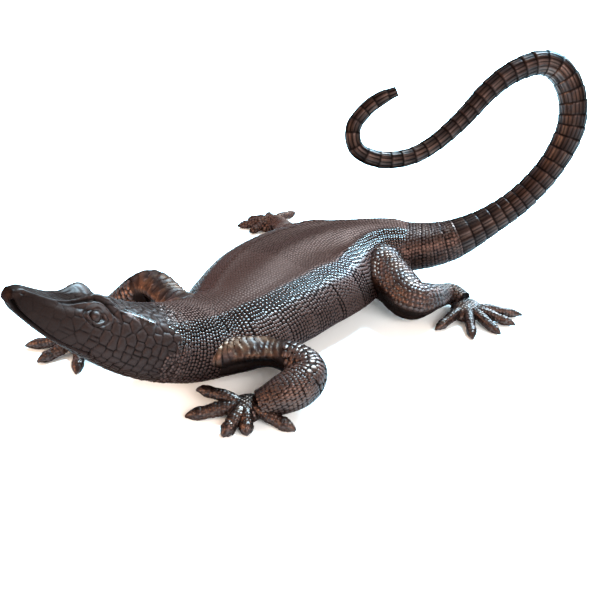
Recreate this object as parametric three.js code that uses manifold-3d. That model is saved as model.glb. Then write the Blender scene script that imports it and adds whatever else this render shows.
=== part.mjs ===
// Cast bronze lizard: one solid casting that stands on its palms and toes, with its head lifted and
// its tail curled up over its hips. Millimetres, +Z up, head towards -X, the lizard's left side
// towards -Y. The origin is on the ground, under the middle of the lizard's box.
import * as THREE from 'three';
import { mergeVertices } from 'three/addons/utils/BufferGeometryUtils.js';
import Module from 'manifold-3d';

const wasm = await Module();
wasm.setup();

// How finely the parts are faceted
const trunkSides = 24;
const trunkRings = 40;
const tailSides = 8;
const limbSides = 10;
const limbRings = 14;
const toeSides = 5;
const toeRings = 7;

// A station is one cross-section: where its centre is, its half width, and its rise above and drop
// below the centre. square is the power of its rounded outline, and taper how much it narrows
// towards the top.
function station(x, y, z, half, rise = half, drop = rise, square = 2, taper = 0) {
  return { at: new THREE.Vector3(x, y, z), half, rise, drop, square, taper };
}

// From the snout along head, neck, trunk and hips into the root of the tail
const trunkStations = [
  station(-118, -4, 66, 2.4, 1.9, 2.5, 2.6),
  station(-114.5, -4, 63.6, 4, 2.9, 4.9, 2.6, 0.1),
  station(-106, -3.5, 56.8, 7, 3.3, 8.6, 2.6, 0.25),
  station(-98, -3, 50, 9.5, 6.4, 10.6, 2.6, 0.3),
  station(-90, -2.5, 43, 11.8, 8.8, 12, 2.6, 0.3),
  station(-80, -2, 34.5, 14.2, 10, 13.5, 2.4, 0.2),
  station(-69, -1.5, 26.5, 16, 12, 14, 2.2, 0.12),
  station(-57, -1.6, 20.5, 18, 13.4, 14.5, 2.1, 0.12),
  station(-46, -0.9, 17, 20.8, 13, 13, 2.1, 0.15),
  station(-32, -1.3, 15.7, 24.3, 13.8, 12.3, 2.1, 0.15),
  station(-15, 3.6, 15, 29.4, 15.2, 12, 2.1, 0.15),
  station(5, 8.8, 14.5, 33.5, 15.8, 11.5, 2.1, 0.15),
  station(24, 10.1, 14.2, 34.3, 15.6, 10.7, 2.1, 0.15),
  station(40, 7.4, 14.5, 30.8, 15.2, 10, 2.1, 0.22),
  station(54, 1.2, 16, 22, 13.6, 10, 2.1, 0.3),
  station(66, -8, 18, 15.8, 10.8, 10.8, 2.1, 0.25),
  station(75, -18, 20, 9, 7, 8),
];

// From inside the hips along the curled tail to its blunt tip
const tailStations = [
  station(55, 0, 18, 17, 8.5, 10.5),
  station(65, -7.5, 18.6, 15.3, 9.6, 12, 2.1, 0.15),
  station(73.8, -18.7, 19.8, 12, 9.4, 11.3),
  station(82.1, -27, 22.8, 9.5, 8.7, 9.8),
  station(95, -35.2, 29, 7.2),
  station(108.4, -42.8, 38.6, 6.5),
  station(119.6, -49.2, 52.9, 6.3),
  station(127.1, -51.7, 68.9, 6.6),
  station(128.8, -48.8, 82.9, 6.5),
  station(126.4, -42.4, 92.8, 6.2),
  station(120.3, -35.8, 95.9, 5.7),
  station(109, -29, 92.2, 5.1),
  station(98.5, -24.5, 85, 4.7),
  station(88, -20.8, 75.4, 4.3),
  station(75, -16.5, 66.6, 4),
  station(63.6, -11.6, 62, 3.9),
  station(52.2, -4.8, 62, 3.8),
  station(45.5, 2.5, 66.5, 3.6),
  station(46, 5.4, 75, 3.5),
  station(51.7, 3.7, 81.8, 3.3),
  station(57, 0.2, 86.2, 3.1),
  station(62, -4, 89, 2.2),
];

// Each limb: the stations from inside the body to the wrist or ankle, the middle of its palm, and
// the tips of its five toes with the half thickness of each
const limbs = [
  { // left arm
    path: [station(-62, -6, 15.5, 5), station(-52, -14, 16.5, 6), station(-44.5, -19.7, 16.6, 5.6),
      station(-38.5, -24.3, 16.2, 5.1), station(-33.2, -29, 15.5, 5.6), station(-30, -35, 14, 6.6),
      station(-30.4, -41, 12, 7.4), station(-36, -42.8, 10, 8), station(-43.5, -40.6, 8.2, 7.1),
      station(-50, -36.3, 5.5, 5.3)],
    palm: [-53, -32.5],
    toes: [[-61, -14.5, 5.5, 2.3], [-69.5, -18, 0, 2.7], [-67.6, -36, 0, 2.8],
      [-61.4, -41.5, 0, 2.7], [-47.6, -52, 0, 2.6]],
  },
  { // right arm
    path: [station(-46, 4, 18, 6.5), station(-44, 18, 22.4, 7), station(-45, 31.5, 25.2, 7.2),
      station(-53.6, 40, 17, 6.5), station(-62.6, 44, 9, 5.6), station(-68, 46.5, 5.5, 4.8)],
    palm: [-69, 47],
    toes: [[-85.6, 65, 0, 2.4], [-88.3, 51, 0, 2.5], [-82, 33, 0, 2.5], [-67.5, 30, 0, 2.3],
      [-74, 63.5, 0, 2.3]],
  },
  { // left leg
    path: [station(52, -2, 15, 8.5), station(45.5, -16, 14.5, 9.6), station(40.5, -27, 13.2, 9.8),
      station(39, -35.5, 11.2, 9), station(46, -38.5, 9.8, 7.2), station(57, -38.3, 7, 5.3),
      station(63, -40, 6, 4.8), station(62.5, -46, 5, 4.5)],
    palm: [60, -50],
    toes: [[40.6, -48, 0, 2.2], [45.4, -63.3, 0, 2.2], [56.5, -69.6, 0, 2.2],
      [67.2, -70.2, 0, 2.1], [76.6, -68, 0, 2]],
  },
  { // right leg
    path: [station(50, 4, 17, 10.5), station(46, 22, 15.5, 10), station(44, 36, 13, 8.8),
      station(48, 47, 10, 7.2), station(56, 55.5, 7.5, 5.4), station(60, 62, 6, 4.6),
      station(62, 68, 5.5, 4.6), station(64, 74, 4.5, 4.2)],
    palm: [64, 75],
    toes: [[51.5, 78.5, 0, 2.2], [52.5, 89, 0, 2.3], [62.5, 91.5, 0, 2.2], [74.5, 88, 0, 2.1],
      [86.5, 79, 0, 2.1]],
  },
];

// The head's raised lines and pits, mirrored on both sides: station number along the trunk, angle up
// from the widest line in degrees, height over the skin, and half thickness
const brow = [[1, 45, 0, 0.7], [1.8, 46, 0, 1], [2.5, 52, 0.3, 1.4], [3, 56, 1.1, 2], [3.4, 54, 1.2, 2.1],
  [3.8, 46, 0.5, 1.6], [4.2, 36, 0.2, 1.2], [4.8, 30, -0.2, 0.8]];
const mouth = [[0.2, -20, 0, 0.5], [0.6, -38, 0, 0.5], [1.2, -50, 0, 0.5], [2, -54, 0, 0.55],
  [2.7, -52, 0, 0.5], [3.3, -44, 0, 0.3]];
const eye = { along: 3.15, angle: 22, lift: -0.9, radius: 2.4, lidThickness: 0.55 };
const nostril = { along: 0.75, angle: 35, radius: 0.7 };
const noseKnob = { along: 0.7, angle: 62, radius: 1.2 };
const templePlates = [
  { along: 4.35, angle: 44, size: [2.6, 3.2, 1.2] },
  { along: 4.85, angle: 42, size: [2.6, 3.4, 1.2] },
];

const palmThickness = 8.4;
const palmHeight = 3.2; // of its middle, so that its underside is cut flat by the ground
const palmLength = 7.5;
const palmWidth = 6.6;
const clawHalf = 0.45;
// A toe from the palm to its tip: share of the way, height, share of the tip's own height, thickness
const toeProfile = [[0, 4, 0, 1], [0.38, 4.2, 0.4, 1.05], [0.6, 2.9, 0.7, 1], [0.8, 1.8, 0.9, 0.9],
  [0.91, 1.4, 1, 0.6]];
const tipHeight = 0.7;
const ringStep = 5.8; // from one ring of tail scales to the next
const ringDepth = 0.07; // of the tail's radius
const spineRidge = 0.9; // the backbone stands up between two shallow valleys
const spineHalf = 4;
const valleyDepth = 1.5;
const valleyOut = 9; // from the backbone to the bottom of a valley
const valleyHalf = 5;
const hipsAt = 0.75; // where the ridge is highest, as a share of the trunk's length
const hipsReach = 0.13;
const frameSteps = 200; // places at which a route's upward direction is carried along

// Turns a closed three.js geometry into a solid that can be joined and cut
function solid(geometry) {
  geometry.deleteAttribute('normal');
  geometry.deleteAttribute('uv');
  const merged = mergeVertices(geometry, 1e-4);
  return new wasm.Manifold(new wasm.Mesh({
    numProp: 3,
    vertProperties: new Float32Array(merged.attributes.position.array),
    triVerts: new Uint32Array(merged.index.array),
  }));
}

// A smooth run through a value of every station, at t from 0 to 1
function blend(values, t) {
  const place = t * (values.length - 1);
  const i = Math.min(Math.floor(place), values.length - 2);
  const [a, b, c, d] = [-1, 0, 1, 2].map((k) => values[THREE.MathUtils.clamp(i + k, 0, values.length - 1)]);
  const u = place - i;
  return b + 0.5 * u * (c - a + u * (2 * a - 5 * b + 4 * c - d + u * (3 * (b - c) + d - a)));
}

// The route through some stations: at(t) gives the centre, the sideways and upward directions and the sizes
function route(stations) {
  const curve = new THREE.CatmullRomCurve3(stations.map((s) => s.at), false, 'catmullrom', 0.5);
  const ups = [];
  let up = new THREE.Vector3(0, 0, 1);
  for (let i = 0; i <= frameSteps; i++) {
    const ahead = curve.getTangent(i / frameSteps);
    up = up.clone().addScaledVector(ahead, -up.dot(ahead)).normalize();
    ups.push(up);
  }
  const sizes = {};
  for (const name of ['half', 'rise', 'drop', 'square', 'taper']) {
    sizes[name] = stations.map((s) => s[name]);
  }
  return {
    length: curve.getLength(),
    at(t) {
      const ahead = curve.getTangent(t);
      const above = ups[Math.round(t * frameSteps)].clone();
      above.addScaledVector(ahead, -above.dot(ahead)).normalize();
      const size = {};
      for (const name in sizes) size[name] = blend(sizes[name], t);
      const side = new THREE.Vector3().crossVectors(above, ahead);
      return { centre: curve.getPoint(t), above, side, size };
    },
  };
}

// The point of a cross-section in the direction across, above, where shape adds to its height
function sectionPoint({ centre, above, side, size }, across, height, shape) {
  const reach = Math.hypot(across, height) < 1e-6 ? 0
    : (Math.abs(across) ** size.square + Math.abs(height) ** size.square) ** (-1 / size.square);
  const sideways = across * reach * size.half * (1 - size.taper * height * reach);
  const up = height * reach * (height > 0 ? size.rise : size.drop) + shape(sideways, height);
  return centre.clone().addScaledVector(side, sideways).addScaledVector(above, up);
}

// A smooth body along a route: a cylinder whose rings are set on the route's cross-sections
function loft(path, sides, rings, swell = () => 1, shape = () => 0) {
  const frames = Array.from({ length: rings + 1 }, (_, i) => path.at(i / rings));
  const geometry = new THREE.CylinderGeometry(1, 1, 1, sides, rings);
  const spot = geometry.attributes.position;
  for (let v = 0; v < spot.count; v++) {
    const ring = Math.round((0.5 - spot.getY(v)) * rings);
    const [across, height] = [spot.getX(v), spot.getZ(v)];
    const point = sectionPoint(frames[ring], across, height, (s, h) => shape(s, h, ring / rings));
    point.sub(frames[ring].centre).multiplyScalar(swell(ring)).add(frames[ring].centre);
    spot.setXYZ(v, point.x, point.y, point.z);
  }
  return solid(geometry);
}

const bump = (x, width) => Math.exp(-((x / width) ** 2));

// Head, neck, trunk and hips, with the backbone's low ridge and the valleys beside it over the hips
function trunk(path) {
  const backbone = (sideways, height, t) => {
    if (height <= 0.3) return 0;
    const ridge = spineRidge * bump(sideways, spineHalf);
    const valleys = valleyDepth * bump(Math.abs(sideways) - valleyOut, valleyHalf);
    return bump(t - hipsAt, hipsReach) * (ridge - valleys);
  };
  return loft(path, trunkSides, trunkRings, () => 1, backbone);
}

// The tail, stepped where each ring of scales overlaps the next
function tail() {
  const path = route(tailStations);
  const rings = 2 * Math.round(path.length / ringStep);
  return loft(path, tailSides, rings, (ring) => (ring % 2 === 0 ? 1 : 1 - ringDepth));
}

// A toe arches from the palm over its knuckle down to its claw
function toe(palm, [tipX, tipY, tipZ, half]) {
  const [reachX, reachY] = [tipX - palm[0], tipY - palm[1]];
  const stations = toeProfile.map(([t, z, lift, thickness]) => {
    return station(palm[0] + reachX * t, palm[1] + reachY * t, z + tipZ * lift, half * thickness);
  });
  stations.push(station(tipX, tipY, tipZ + tipHeight, clawHalf));
  return loft(route(stations), toeSides, toeRings);
}

function ball([x, y, z], [across, along, up], sides = 10) {
  const geometry = new THREE.SphereGeometry(1, sides, sides / 2);
  geometry.scale(across, along, up);
  geometry.translate(x, y, z);
  return solid(geometry);
}

const trunkPath = route(trunkStations);

// A place on the head's skin, on the left (-1) or the right (1) of its middle
function onHead(hand, along, angle, lift = 0) {
  const frame = trunkPath.at(along / (trunkStations.length - 1));
  const turn = THREE.MathUtils.degToRad(angle);
  const point = sectionPoint(frame, hand * Math.cos(turn), Math.sin(turn), () => 0);
  const outward = point.clone().sub(frame.centre).normalize();
  return { point: point.addScaledVector(outward, lift), outward, frame };
}

function headLine(hand, places) {
  const stations = places.map(([along, angle, lift, half]) => {
    const { point } = onHead(hand, along, angle, lift);
    return station(point.x, point.y, point.z, half);
  });
  return loft(route(stations), toeSides, places.length + 3);
}

// A ring or a plate set on the head's skin, turned so that its own Z axis points outwards
function setOnHead(geometry, hand, along, angle, lift) {
  const { point, outward, frame } = onHead(hand, along, angle, lift);
  const forward = new THREE.Vector3().crossVectors(frame.above, frame.side);
  const across = new THREE.Vector3().crossVectors(forward, outward).normalize();
  const ahead = new THREE.Vector3().crossVectors(outward, across);
  geometry.applyMatrix4(new THREE.Matrix4().makeBasis(across, ahead, outward).setPosition(point));
  return solid(geometry);
}

function headFeatures(casting) {
  for (const hand of [-1, 1]) {
    casting = casting.add(headLine(hand, brow)).subtract(headLine(hand, mouth));
    const lids = new THREE.TorusGeometry(eye.radius, eye.lidThickness, 5, 10);
    lids.scale(0.75, 1, 1);
    casting = casting.add(setOnHead(lids, hand, eye.along, eye.angle, 0.1));
    const eyeball = new THREE.SphereGeometry(eye.radius, 8, 6);
    casting = casting.add(setOnHead(eyeball, hand, eye.along, eye.angle, eye.lift));
    for (const { along, angle, size } of templePlates) {
      const plate = new THREE.SphereGeometry(1, 8, 4);
      plate.scale(...size);
      casting = casting.add(setOnHead(plate, hand, along, angle, 0));
    }
    const knob = new THREE.SphereGeometry(noseKnob.radius, 6, 4);
    casting = casting.add(setOnHead(knob, hand, noseKnob.along, noseKnob.angle, -0.4));
    const pit = new THREE.SphereGeometry(nostril.radius, 6, 4);
    casting = casting.subtract(setOnHead(pit, hand, nostril.along, nostril.angle, 0.2));
  }
  return casting;
}

let casting = headFeatures(trunk(trunkPath)).add(tail());
for (const limb of limbs) {
  casting = casting.add(loft(route(limb.path), limbSides, limbRings));
  casting = casting.add(ball([...limb.palm, palmHeight], [palmLength, palmWidth, palmThickness / 2]));
  for (const tip of limb.toes) casting = casting.add(toe(limb.palm, tip));
}

// The soles are ground flat where they meet the ground
const below = new THREE.BoxGeometry(600, 600, 100);
below.translate(0, 0, -50);
casting = casting.subtract(solid(below));

const { vertProperties, triVerts } = casting.getMesh();
const geometry = new THREE.BufferGeometry();
geometry.setAttribute('position', new THREE.BufferAttribute(vertProperties, 3));
geometry.setIndex(new THREE.BufferAttribute(triVerts, 1));
geometry.computeBoundingBox();
const middle = geometry.boundingBox.getCenter(new THREE.Vector3());
geometry.translate(-middle.x, -middle.y, 0);
geometry.computeVertexNormals();

const bronze = new THREE.MeshStandardMaterial({ color: 0x33221c, roughness: 0.35, metalness: 0.9 });
const lizard = new THREE.Mesh(geometry, bronze);
lizard.name = 'lizard';

const model = new THREE.Group();
model.add(lizard);
export default model;
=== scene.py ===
# A bronze lizard for a desk, 25 cm from its snout to the bend of its tail. It is one casting with a brown
# patina, and stands on its palms and toes with its head lifted and its tail curled up over its hips.
import math

import bpy
import numpy as np
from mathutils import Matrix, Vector
from mathutils.bvhtree import BVHTree


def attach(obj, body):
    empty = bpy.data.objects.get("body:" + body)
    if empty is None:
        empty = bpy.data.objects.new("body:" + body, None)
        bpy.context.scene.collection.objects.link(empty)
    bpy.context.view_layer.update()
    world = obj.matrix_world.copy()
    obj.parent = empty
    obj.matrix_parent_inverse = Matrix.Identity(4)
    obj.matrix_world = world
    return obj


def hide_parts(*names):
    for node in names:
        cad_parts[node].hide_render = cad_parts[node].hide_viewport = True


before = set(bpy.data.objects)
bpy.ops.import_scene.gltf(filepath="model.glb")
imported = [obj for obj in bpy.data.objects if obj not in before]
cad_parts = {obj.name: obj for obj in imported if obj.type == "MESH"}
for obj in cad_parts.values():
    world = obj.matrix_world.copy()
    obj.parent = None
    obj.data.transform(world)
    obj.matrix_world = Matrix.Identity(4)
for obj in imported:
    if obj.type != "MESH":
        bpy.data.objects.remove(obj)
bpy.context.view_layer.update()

# The studio
# A pale table that runs on out of sight, lit by a tall cool softbox over the tail's end with a low window
# under it, a wide soft one in front, a faint one over the far side and a warm bounce past the snout. The
# camera stands a third of a metre off, in front of the lizard's left shoulder, and looks down at it.
MM = 0.001  # a millimetre, in Blender's metres
lights_aim = Vector((0, 0, 0.03))
table_half = 6.0


def colour(code):
    """A linear, opaque colour from an sRGB hex value."""
    shades = [int(code[i : i + 2], 16) / 255 for i in (1, 3, 5)]
    return [s / 12.92 if s <= 0.04045 else ((s + 0.055) / 1.055) ** 2.4 for s in shades] + [1.0]


def new_object(name, data):
    """A new object of the scene, at the origin until it is moved."""
    thing = bpy.data.objects.new(name, data)
    bpy.context.scene.collection.objects.link(thing)
    return thing


def softbox(name, place, width, depth, power, tint):
    """A light of so many metres by so many, and so many watts, turned to the middle of the casting."""
    light = bpy.data.lights.new(name, "AREA")
    light.shape = "RECTANGLE"
    light.size = width
    light.size_y = depth
    light.energy = power
    light.color = colour(tint)[:3]
    lamp = new_object(name, light)
    lamp.location = place
    lamp.rotation_euler = (lights_aim - Vector(place)).to_track_quat("-Z", "Y").to_euler()


softbox("right_softbox", (0.63, 0.03, 0.62), 0.26, 0.75, 88, "#a4dcf6")
softbox("side_window", (0.8, 0, 0.16), 0.5, 0.22, 9, "#dcecf4")
softbox("front_window", (-0.25, -0.75, 0.5), 0.6, 0.4, 11, "#f4f2f0")
softbox("far_softbox", (0.05, 0.7, 0.5), 0.7, 0.3, 4, "#eef3ff")
softbox("left_bounce", (-0.7, 0.25, 0.3), 0.5, 0.4, 8, "#ffdcbc")

world = bpy.data.worlds.new("studio")
world.use_nodes = True
backdrop = world.node_tree.nodes["Background"]
backdrop.inputs["Color"].default_value = colour("#fffaf4")
backdrop.inputs["Strength"].default_value = 0.7
bpy.context.scene.world = world

camera_place = Vector((-211.85, -215.65, 180)) * MM
camera_heading = math.radians(44)
camera_dip = math.radians(30)
camera_data = bpy.data.cameras.new("camera")
camera_data.sensor_width = 36
camera_data.lens = 48
camera_data.clip_start = 0.01
camera = new_object("camera", camera_data)
camera.location = camera_place
level = math.cos(camera_dip)
look = Vector((math.cos(camera_heading) * level, math.sin(camera_heading) * level, -math.sin(camera_dip)))
camera.rotation_euler = look.to_track_quat("-Z", "Y").to_euler()
bpy.context.scene.camera = camera
bpy.context.scene.view_settings.view_transform = "Standard"

table = bpy.data.meshes.new("table")
table_corners = [(x * table_half, y * table_half, 0) for x, y in ((-1, -1), (1, -1), (1, 1), (-1, 1))]
table.from_pydata(table_corners, [], [(0, 1, 2, 3)])
paper = bpy.data.materials.new("white_paper_sweep")
paper.use_nodes = True
paper_shader = paper.node_tree.nodes["Principled BSDF"]
paper_shader.inputs["Base Color"].default_value = colour("#f6f5f4")
paper_shader.inputs["Roughness"].default_value = 0.9
table.materials.append(paper)
floor = new_object("table", table)

# Head, neck and trunk
# The body of the casting, modelled in wax and cast in bronze: a lifted, pointed head on a thick neck, a
# broad flat trunk that swings to the right, and hips that run into the tail. Its skin carries the larger
# forms and the head's plates, and the small scales of neck and trunk stand on it.
CASTING_MIDDLE = np.array([7.841, 10.651, 0])  # the casting's middle, in the stations' millimetres


def station(x, y, z, half, rise=None, drop=None, square=2.0, taper=0.0):
    """A cross-section: centre, half width, rise above it, drop below it, squareness and upward taper."""
    rise = half if rise is None else rise
    drop = rise if drop is None else drop
    return (x, y, z, half, rise, drop, square, taper)


trunk_stations = [
    station(-118, -4, 66, 2.4, 1.9, 2.5, 2.6),
    station(-114.5, -4, 63.6, 4, 2.9, 4.9, 2.6, 0.1),
    station(-106, -3.5, 56.8, 7, 3.3, 8.6, 2.6, 0.25),
    station(-98, -3, 50, 9.5, 6.4, 10.6, 2.6, 0.3),
    station(-90, -2.5, 43, 11.8, 8.8, 12, 2.6, 0.3),
    station(-80, -2, 34.5, 14.2, 10, 13.5, 2.4, 0.2),
    station(-69, -1.5, 26.5, 16, 12, 14, 2.2, 0.12),
    station(-57, -1.6, 20.5, 18, 13.4, 14.5, 2.1, 0.12),
    station(-46, -0.9, 17, 20.8, 13, 13, 2.1, 0.15),
    station(-32, -1.3, 15.7, 24.3, 13.8, 12.3, 2.1, 0.15),
    station(-15, 3.6, 15, 29.4, 15.2, 12, 2.1, 0.15),
    station(5, 8.8, 14.5, 33.5, 15.8, 11.5, 2.1, 0.15),
    station(24, 10.1, 14.2, 34.3, 15.6, 10.7, 2.1, 0.15),
    station(40, 7.4, 14.5, 30.8, 15.2, 10, 2.1, 0.22),
    station(54, 1.2, 16, 22, 13.6, 10, 2.1, 0.3),
    station(66, -8, 18, 15.8, 10.8, 10.8, 2.1, 0.25),
    station(75, -18, 20, 9, 7, 8),
]


def unit(vectors):
    """The same directions, each of length one."""
    return vectors / np.maximum(np.linalg.norm(vectors, axis=-1, keepdims=True), 1e-12)


def smooth_run(values, places, straight_ends=False):
    """Reads a smooth curve through values at places counted in stations. With straight_ends the curve runs
    straight at its two ends."""
    values = np.asarray(values, float)
    last = len(values) - 1
    places = np.clip(places, 0, last)
    i = np.minimum(places.astype(int), last - 1)
    u = (places - i)[:, None]
    a, b = values[i], values[i + 1]
    before, after = values[np.maximum(i - 1, 0)], values[np.minimum(i + 2, last)]
    if straight_ends:
        before = np.where((i == 0)[:, None], 2 * a - b, before)
        after = np.where((i == last - 1)[:, None], 2 * b - a, after)
    bend = 2 * before - 5 * a + 4 * b - after + u * (3 * (a - b) + after - before)
    return a + 0.5 * u * (b - before + u * bend)


class Route:
    """The line through some stations, with the way ahead and the way up at each place along it."""

    def __init__(self, stations):
        self.stations = np.array(stations, float)
        self.last = len(stations) - 1
        self.dense = np.linspace(0, self.last, 1601)
        line = smooth_run(self.stations[:, :3], self.dense, True)
        self.distance = np.concatenate([[0], np.cumsum(np.linalg.norm(np.diff(line, axis=0), axis=1))])
        self.ahead = unit(np.gradient(line, axis=0))
        up = np.array([0.0, 0.0, 1.0])
        ups = []
        for ahead in self.ahead:
            up = unit(up - up @ ahead * ahead)
            ups.append(up)
        self.above = np.array(ups)

    def spaced(self, step, start=0.0, end=None):
        """Places an even step apart, in millimetres, from station start to station end."""
        low, high = np.interp([start, self.last if end is None else end], self.dense, self.distance)
        count = max(2, round((high - low) / step) + 1)
        return np.interp(np.linspace(low, high, count), self.distance, self.dense)

    def section(self, places, angles, shape=None):
        """Points of the cross-sections at places, at angles up from the side. Shape adds to the height."""
        places = np.atleast_1d(places)
        centre = smooth_run(self.stations[:, :3], places, True)
        sizes = smooth_run(self.stations[:, 3:], places)
        near = np.searchsorted(self.dense, places).clip(0, len(self.dense) - 1)
        ahead = self.ahead[near]
        above = self.above[near]
        side = np.cross(above, ahead)
        half, rise, drop, square, taper = (sizes[:, k, None] for k in range(5))
        angles = np.atleast_2d(angles)
        across, height = np.cos(angles), np.sin(angles)
        reach = (np.abs(across) ** square + np.abs(height) ** square) ** (-1 / square)
        sideways = across * reach * half * (1 - taper * height * reach)
        up = height * reach * np.where(height > 0, rise, drop)
        if shape is not None:
            up = up + shape(places[:, None] / self.last, sideways, height)
        return centre[:, None] + sideways[..., None] * side[:, None] + up[..., None] * above[:, None]


def bump(distance, width):
    """A soft hill: 1 in the middle, and nearly 0 from twice the width on."""
    return np.exp(-((distance / width) ** 2))


# The fold between the back and each flank, and the band below it: (station, distance from the backbone,
# height of the fold, half its width, width of the band)
flank_fold = np.array([(5.2, 9.6, 0.3, 2, 4), (6.2, 9.2, 0.4, 2, 4), (7.6, 8.6, 0.5, 2, 5),
                       (8.9, 8.6, 0.6, 2.2, 6), (9.5, 11.6, 0.6, 2.4, 6), (10.6, 16.4, 0.6, 2.6, 7),
                       (11.8, 18.8, 0.7, 2.8, 8), (13.1, 13.6, 1, 3, 7), (13.8, 8.6, 1.2, 2.6, 5),
                       (14.5, 5.4, 1.4, 1.8, 4), (15, 4.6, 1.3, 1.6, 4), (15.35, 4, 0.2, 1.6, 4)])
ridge_height, ridge_half = 0.5, 4  # the backbone's ridge over the hips
valley_depth, valley_away, valley_half = 0.8, 9, 5  # the hollow on each side of it
hips_at, hips_half = 0.75, 0.13  # shares of the trunk


def backbone(t, sideways, height):
    """The backbone's low ridge between two shallow valleys over the hips, and the fold along each flank."""
    valley = valley_depth * bump(np.abs(sideways) - valley_away, valley_half)
    form = bump(t - hips_at, hips_half) * (ridge_height * bump(sideways, ridge_half) - valley)
    place = t * (len(trunk_stations) - 1)
    away, high, half, band = (np.interp(place, flank_fold[:, 0], flank_fold[:, k]) for k in (1, 2, 3, 4))
    offset = np.abs(sideways) - away
    form = form + high * (bump(offset, half) + 0.7 * bump(offset - band, 0.5 * band))
    return form * np.clip((height - 0.1) / 0.3, 0, 1)


def grid_normals(points):
    """The outward direction at each point of a grid of rings."""
    around = np.roll(points, -1, 1) - np.roll(points, 1, 1)
    along = np.gradient(points, axis=0)
    return unit(np.cross(around, along))


def ring_numbers(rings, sides, start=0):
    """The numbers of a shell's points, ring by ring, and those of their neighbours one step round."""
    index = start + np.arange(rings * sides).reshape(rings, sides)
    return index, np.roll(index, -1, 1)


def ring_faces(index, turned):
    """The faces between each ring of a shell and the next."""
    return np.stack([index[:-1], turned[:-1], turned[1:], index[1:]], -1).reshape(-1, 4).tolist()


def shells_mesh(name, shells):
    """One mesh of closed shells, in metres about the casting's middle. A shell is a grid of rings of
    points, with how far each is out of the grooves together with any painted light and shade (crest), how
    far it is rubbed to metal (wear) and how dulled (dust)."""
    corners, faces, crests_and_painted_light, wears, dusts = [], [], [], [], []
    start = 0
    for points, crest_and_painted_light, wear, dust in shells:
        rings, sides = points.shape[:2]
        index, turned = ring_numbers(rings, sides, start)
        faces += ring_faces(index, turned)
        ends = start + rings * sides
        faces += [(ends, turned[0, k], index[0, k]) for k in range(sides)]
        faces += [(ends + 1, index[-1, k], turned[-1, k]) for k in range(sides)]
        corners.append(np.concatenate([points.reshape(-1, 3), [points[0].mean(0), points[-1].mean(0)]]))
        for field, values in ((crests_and_painted_light, crest_and_painted_light), (wears, wear), (dusts, dust)):
            values = np.broadcast_to(values, (rings, sides)).reshape(-1)
            field.append(np.concatenate([values, values[:1], values[-1:]]))
        start = ends + 2
    flat = (np.concatenate(corners) - CASTING_MIDDLE) * MM
    flat[:, 2] = np.maximum(flat[:, 2], 0)  # the soles are ground flat
    mesh = bpy.data.meshes.new(name)
    mesh.from_pydata(flat.tolist(), [], faces)
    for field, values in (("crest_and_painted_light", crests_and_painted_light), ("wear", wears), ("dust", dusts)):
        layer = mesh.attributes.new(field, "FLOAT", "POINT")
        layer.data.foreach_set("value", np.concatenate(values).astype(np.float32))
    mesh.shade_smooth()
    return mesh


def line_offsets(points, line, values):
    """How far each point is from a line, and the line's own values at the nearest place."""
    line, values = np.array(line, float), np.array(values, float)
    best = np.full(points.shape[:-1], 1e9)
    found = np.zeros(points.shape[:-1] + values.shape[1:])
    for a, b, first, second in zip(line, line[1:], values, values[1:]):
        step = b - a
        share = np.clip((points - a) @ step / (step @ step), 0, 1)
        away = np.linalg.norm(points - a - share[..., None] * step, axis=-1)
        nearer = away < best
        best = np.where(nearer, away, best)
        value = first + share[..., None] * (second - first)
        found = np.where(nearer[..., None], value, found)
    return best, found


trunk_route = Route(trunk_stations)


def on_head(hand, along, angle, lift=0.0):
    """A place on the head's skin, at a station and so many degrees up from its side. Hand is -1 on the left
    and 1 on the right, and lift is how far out of the skin."""
    turn = math.radians(angle if hand > 0 else 180 - angle)
    point = trunk_route.section(along, turn)[0, 0]
    centre = smooth_run(trunk_route.stations[:, :3], np.array([float(along)]), True)[0]
    return point + unit(point - centre) * lift


def head_line(hand, places, steps=5):
    """A smooth line over the head through places of (station, angle)."""
    run = smooth_run(places, np.linspace(0, len(places) - 1, (len(places) - 1) * steps + 1))
    return np.array([on_head(hand, along, angle) for along, angle in run])


# The lines over each half of the head run through places of (station, angle). With each goes how far it
# stands out, or goes in at a crease, and how wide it is, in millimetres.
brow_line = [(1, 45), (1.8, 46), (2.5, 52), (3, 56), (3.4, 54), (3.8, 46), (4.2, 36), (4.8, 30)]
brow_size = [(0.4, 1), (0.6, 1.1), (1.1, 1.4), (3.4, 2.0), (3.3, 2.0), (1.6, 1.5), (0.8, 1.1), (0.2, 1)]
lid_fold_line = [(2.35, 42), (2.8, 43), (3.2, 41), (3.6, 33), (3.9, 22)]
lid_fold_size = [(0.2, 0.6), (0.9, 0.7), (1.1, 0.8), (1.0, 0.8), (0.4, 0.7)]
crease_line = [(1.9, 41), (2.4, 47), (2.9, 49.5), (3.3, 47), (3.7, 37), (4.0, 27)]
crease_size = [(0.1, 0.5), (0.7, 0.6), (0.9, 0.7), (0.9, 0.7), (0.7, 0.6), (0.2, 0.5)]
mouth_line = [(0.25, -24), (0.6, -38), (1.2, -50), (2, -54), (2.7, -52), (3.4, -44)]
temple_bosses = [((4.2, 45), (4.5, 43)), ((4.7, 43), (5.05, 41))]
temple_size = [(1.1, 1.7), (1.1, 1.7)]
eye_at = (3.15, 22)
eye_radius = 2.4
eye_sunk = 1.25  # how far its middle is below the skin
opening_half = (3.5, 2.15)  # half the length and half the height of the almond between the lids
almond_power = 1.6  # 1 is a diamond, and 2 an ellipse
nostril_at = (0.75, 35)
nose_knob_at = (0.7, 62)


def ridge(points, line, sizes):
    """How far a ridge along a line stands out at each point."""
    run = smooth_run(sizes, np.linspace(0, len(sizes) - 1, len(line)))
    away, size = line_offsets(points, line, run)
    return size[..., 0] * bump(away, size[..., 1])


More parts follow.
